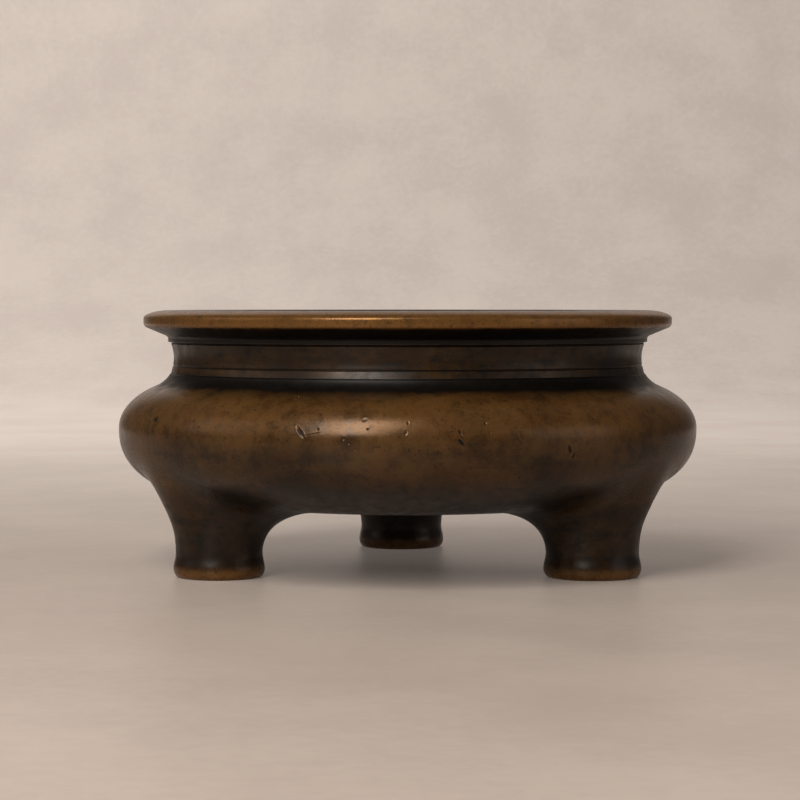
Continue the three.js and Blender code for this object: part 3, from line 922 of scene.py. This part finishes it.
def grain_tree():
    """Small grains scattered over a patch of surface, half sunk in it."""
    tree = new_tree("Grains", [
        ("Count", "NodeSocketFloat", 1.0),
        ("Smallest", "NodeSocketFloat", 0.0001),
        ("Largest", "NodeSocketFloat", 0.0003),
        ("Seed", "NodeSocketInt", 4),
        ("Material", "NodeSocketMaterial", None),
    ])
    source = add_node(tree, "NodeGroupInput")
    spots = add_node(
        tree, "GeometryNodeDistributePointsOnFaces", None,
        {"Mesh": source.outputs["Geometry"], "Density": source.outputs["Count"], "Seed": source.outputs["Seed"]},
    )
    grain = add_node(tree, "GeometryNodeMeshIcoSphere", {"Radius": 1.0, "Subdivisions": 2})
    size = add_node(
        tree, "FunctionNodeRandomValue", None,
        {2: source.outputs["Smallest"], 3: source.outputs["Largest"], 8: source.outputs["Seed"]},
    )
    copies = add_node(
        tree, "GeometryNodeInstanceOnPoints", None,
        {"Points": spots.outputs[0], "Instance": grain.outputs["Mesh"], "Scale": size.outputs[1]},
    )
    finish_tree(tree, source, copies.outputs[0])
    return tree


def shoulder_patch(start, end, drop):
    """The strip of shoulder just under the neck where grains have stuck, between two bearings."""
    plane = BellyMap()
    bearings = np.radians(np.linspace(start, end, 60))
    low = plane.solid_point(np.full(60, plane.end - drop), bearings)
    high = plane.solid_point(np.full(60, plane.end - 0.5), bearings)
    data = bpy.data.meshes.new("shoulder_patch")
    faces = [(i, i + 1, 61 + i, 60 + i) for i in range(59)]
    data.from_pydata([tuple(p) for p in np.vstack([low, high]) * MM], [], faces)
    return data


# Settings

def colour_setting(name, description, default):
    return bpy.props.StringProperty(name=name, description=description, default=default)


class BurnerColours(bpy.types.PropertyGroup):
    """Colours of the burner, written as on a screen."""

    patina: colour_setting("Patina", "The brown that covers most of the bronze", "#533a1d")
    dark_patina: colour_setting("Dark patina", "The darker clouds in the brown", "#2b1c0e")
    red_patina: colour_setting("Red patina", "Reddish patches", "#472711")
    green_patina: colour_setting("Green patina", "Olive patches", "#332e17")
    rubbed_metal: colour_setting("Rubbed metal", "Golden metal on rubbed edges", "#7f592e")
    # The dark colour of the deposits in the hollows, used also for the painted shade under the lip and on faces that
    # look down.
    grime_and_shade: colour_setting("Grime", "Dirt and wax in the recesses", "#0b0704")
    clay: colour_setting("Clay", "Casting clay in the legs", "#6e5c4a")
    dark_clay: colour_setting("Dark clay", "Burnt patches of the clay", "#3d3127")
    paper: colour_setting("Cloth", "Studio floor and backdrop", "#c5b8ae")
    paper_blotch: colour_setting("Cloth blotches", "The darker clouds of the studio cloth", "#bbaea5")


class BurnerSizes(bpy.types.PropertyGroup):
    """Sizes of the finish and the studio."""

    unevenness: bpy.props.FloatProperty(
        name="Unevenness", description="Depth of the hand-made waves, in millimetres", default=0.11, min=0
    )
    grain_density: bpy.props.FloatProperty(
        name="Grains", description="Mineral grains per square metre of shoulder", default=22000, min=0
    )
    camera_distance: bpy.props.FloatProperty(
        name="Camera distance", description="From the burner's axis", default=0.978, unit="LENGTH"
    )
    camera_height: bpy.props.FloatProperty(
        name="Camera height", description="Above the floor", default=0.1003, unit="LENGTH"
    )
    key_power: bpy.props.FloatProperty(name="Key light", description="Power of the large soft light", default=12.5)
    fill: bpy.props.FloatProperty(name="Fill", description="Light of the room", default=0.1)


class BURNER_OT_bowl(bpy.types.Operator):
    """Make the worn bowl"""

    bl_idname = "burner.bowl"
    bl_label = "Bowl"

    def execute(self, context):
        data = bowl_mesh()
        paint_wear_and_shade(data, worn(data, context.scene.burner_sizes.unevenness, True))
        bowl = shown("worn_bowl", data, bronze_finish(context.scene.burner_colours), ["vessel_body"])
        cut_chaplet_holes(bowl)
        return {"FINISHED"}


class BURNER_OT_feet(bpy.types.Operator):
    """Make the three hollow feet"""

    bl_idname = "burner.feet"
    bl_label = "Feet"

    def execute(self, context):
        material = bpy.data.materials["waxed_bronze"]
        for name in LEG_WAISTS:
            data = foot_mesh(name)
            paint_wear_and_shade(data, worn(data, context.scene.burner_sizes.unevenness, False))
            shown("worn_foot_" + name, data, material, ["leg_" + name])
        return {"FINISHED"}


class BURNER_OT_hidden(bpy.types.Operator):
    """Finish the clay cores and make the chaplets in the floor"""

    bl_idname = "burner.hidden"
    bl_label = "Cores and chaplets"

    def execute(self, context):
        colours = context.scene.burner_colours
        clay = clay_finish(colours)
        for name in LEG_WAISTS:
            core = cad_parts["leg_core_" + name]
            for material_slot in core.material_slots:
                material_slot.material = clay
        metal = bpy.data.materials["waxed_bronze"]
        values = {
            "Side": CHAPLET_SIDE * MM,
            "Thickness": (WALL + 2 * CHAPLET_PROUD) * MM,
            "Spread": CHAPLET_SPREAD * MM,
            "Height": (FLOOR_Z + WALL / 2) * MM,
            "Material": metal,
        }
        data = made_by(chaplet_tree(), "chaplets", bpy.data.meshes.new("start"), values)
        turn = bmesh.new()
        turn.from_mesh(data)
        bmesh.ops.rotate(turn, verts=turn.verts, cent=(0, 0, 0), matrix=rotation_about_z(-90))
        turn.to_mesh(data)
        turn.free()
        for name in ("grime_and_shade", "wear"):
            layer = data.attributes.new(name, "FLOAT", "POINT")
            layer.data.foreach_set("value", np.full(len(data.vertices), 0.55 if name == "grime_and_shade" else 0.0))
        nodes = ["floor_chaplet_" + name for name in ("centre", "left", "right", "front")]
        shown("chaplets", data, metal, nodes)
        return {"FINISHED"}


class BURNER_OT_grains(bpy.types.Operator):
    """Scatter pale grains in the dark deposit under the neck"""

    bl_idname = "burner.grains"
    bl_label = "Grains"

    def execute(self, context):
        material = grain_finish()
        values = {
            "Count": context.scene.burner_sizes.grain_density,
            "Smallest": 0.1 * MM,
            "Largest": 0.24 * MM,
            "Seed": 4,
            "Material": material,
        }
        data = made_by(grain_tree(), "shoulder_grains", shoulder_patch(236, 252, 4.5), values)
        shown("shoulder_grains", data, material, [])
        return {"FINISHED"}


class BURNER_OT_studio(bpy.types.Operator):
    """Set up the paper, the lights and the camera"""

    bl_idname = "burner.studio"
    bl_label = "Studio"

    def execute(self, context):
        colours, sizes = context.scene.burner_colours, context.scene.burner_sizes
        paper_sweep(paper_finish(colours))
        area_light("key", (-24, 39, 1.25), (0.46, 0.9), sizes.key_power, "#fff6ec")
        area_light("side", (-80, 25, 1.4), (0.8, 0.8), 1.5, "#fff4e8")
        area_light("far_side", (64, 16, 1.5), (1.0, 0.8), 2.0, "#fff2e6")
        room_light(context.scene, sizes.fill)
        place_camera(context.scene, sizes)
        return {"FINISHED"}


def rotation_about_z(degrees):
    return Matrix.Rotation(math.radians(degrees), 3, "Z")


def cut_chaplet_holes(bowl):
    """Opens the floor for the chaplets that are set through it."""
    side = CHAPLET_SIDE + 0.1
    work = bmesh.new()
    for bearing, spread in ((0, 0), (150, CHAPLET_SPREAD), (30, CHAPLET_SPREAD), (270, CHAPLET_SPREAD)):
        made = bmesh.ops.create_cube(work, size=1.0)["verts"]
        bmesh.ops.scale(work, vec=(side * MM, side * MM, (WALL + 4) * MM), verts=made)
        bmesh.ops.rotate(work, verts=made, cent=(0, 0, 0), matrix=rotation_about_z(bearing + 45))
        angle = math.radians(bearing)
        centre = (spread * math.cos(angle) * MM, spread * math.sin(angle) * MM, (FLOOR_Z + WALL / 2) * MM)
        bmesh.ops.translate(work, vec=centre, verts=made)
    data = bpy.data.meshes.new("chaplet_holes")
    work.to_mesh(data)
    work.free()
    cutter = bpy.data.objects.new("chaplet_holes", data)
    bpy.context.scene.collection.objects.link(cutter)
    cut = bowl.modifiers.new("Holes", "BOOLEAN")
    cut.operation = "DIFFERENCE"
    cut.object = cutter
    cut.solver = "EXACT"
    evaluated = bowl.evaluated_get(bpy.context.evaluated_depsgraph_get())
    opened = bpy.data.meshes.new_from_object(evaluated)
    bowl.modifiers.clear()
    old = bowl.data
    bowl.data = opened
    opened.name = "worn_bowl"
    bpy.data.meshes.remove(old)
    bpy.data.objects.remove(cutter)


def paper_sweep(material):
    """A sheet of paper that runs back over the floor and bends up behind."""
    width, front, back, height, bend_r = 5.0, -2.2, 1.9, 2.2, 0.5
    line = [(front, 0.0), (0.0, 0.0), (back - bend_r, 0.0)]
    for i in range(1, 17):
        angle = math.radians(90 * i / 16)
        line.append((back - bend_r + bend_r * math.sin(angle), bend_r - bend_r * math.cos(angle)))
    line.append((back, height))
    data = bpy.data.meshes.new("paper")
    points = [(x, y, z) for y, z in line for x in (-width / 2, width / 2)]
    data.from_pydata(points, [], [(2 * i, 2 * i + 1, 2 * i + 3, 2 * i + 2) for i in range(len(line) - 1)])
    data.materials.append(material)
    for polygon in data.polygons:
        polygon.use_smooth = True
    paper = bpy.data.objects.new("paper", data)
    bpy.context.scene.collection.objects.link(paper)


def area_light(name, place, size, power, hex_colour):
    """A soft light at an angle round from the camera, an angle up and a distance, turned to the burner."""
    around, up, distance = math.radians(place[0]), math.radians(place[1]), place[2]
    direction = Vector((math.sin(around) * math.cos(up), -math.cos(around) * math.cos(up), math.sin(up)))
    light = bpy.data.lights.new(name, "AREA")
    light.shape = "RECTANGLE"
    light.size, light.size_y = size
    light.energy = power
    light.color = linear(hex_colour)[:3]
    lamp = bpy.data.objects.new(name, light)
    lamp.location = direction * distance + Vector((0, 0, 0.05))
    lamp.rotation_euler = direction.to_track_quat("Z", "Y").to_euler()
    bpy.context.scene.collection.objects.link(lamp)


def room_light(scene, strength):
    """An even, dim room."""
    world = bpy.data.worlds.new("room")
    world.use_nodes = True
    background = world.node_tree.nodes["Background"]
    background.inputs["Color"].default_value = linear("#f4efe9")
    background.inputs["Strength"].default_value = strength
    scene.world = world


def place_camera(scene, sizes):
    """The photograph's viewpoint: near the height of the lip, looking down a little."""
    camera = bpy.data.cameras.new("camera")
    focal_px, image_px, horizon_px, axis_px = 2556, 800, 304, 407.6
    camera.sensor_width = 36
    camera.lens = focal_px / image_px * camera.sensor_width
    camera.clip_start = 0.05
    eye = bpy.data.objects.new("camera", camera)
    aside = -(axis_px - image_px / 2) / focal_px * sizes.camera_distance
    eye.location = (aside, -sizes.camera_distance, sizes.camera_height)
    pitch = math.atan((image_px / 2 - horizon_px) / focal_px)
    eye.rotation_euler = (math.pi / 2 - pitch, 0, 0)
    scene.collection.objects.link(eye)
    scene.camera = eye
    scene.view_settings.view_transform = "Standard"


class BURNER_PT_panel(bpy.types.Panel):
    """Lists the burner's pieces and settings"""

    bl_idname = "BURNER_PT_panel"
    bl_label = "Tripod burner"
    bl_space_type = "VIEW_3D"
    bl_region_type = "UI"
    bl_category = "Burner"

    def draw(self, context):
        for group in (context.scene.burner_colours, context.scene.burner_sizes):
            for name in group.bl_rna.properties.keys():
                if name not in ("rna_type", "name"):
                    self.layout.prop(group, name)
        for operator in OPERATORS:
            self.layout.operator(operator.bl_idname)


OPERATORS = [BURNER_OT_bowl, BURNER_OT_feet, BURNER_OT_hidden, BURNER_OT_grains, BURNER_OT_studio]
CLASSES = [BurnerColours, BurnerSizes, *OPERATORS, BURNER_PT_panel]


def register():
    for made in CLASSES:
        bpy.utils.register_class(made)
    bpy.types.Scene.burner_colours = bpy.props.PointerProperty(type=BurnerColours)
    bpy.types.Scene.burner_sizes = bpy.props.PointerProperty(type=BurnerSizes)


def unregister():
    del bpy.types.Scene.burner_sizes
    del bpy.types.Scene.burner_colours
    for made in reversed(CLASSES):
        bpy.utils.unregister_class(made)


def main():
    register()
    bpy.ops.burner.bowl()
    bpy.ops.burner.feet()
    bpy.ops.burner.hidden()
    bpy.ops.burner.grains()
    bpy.ops.burner.studio()


if __name__ == "__main__":
    main()
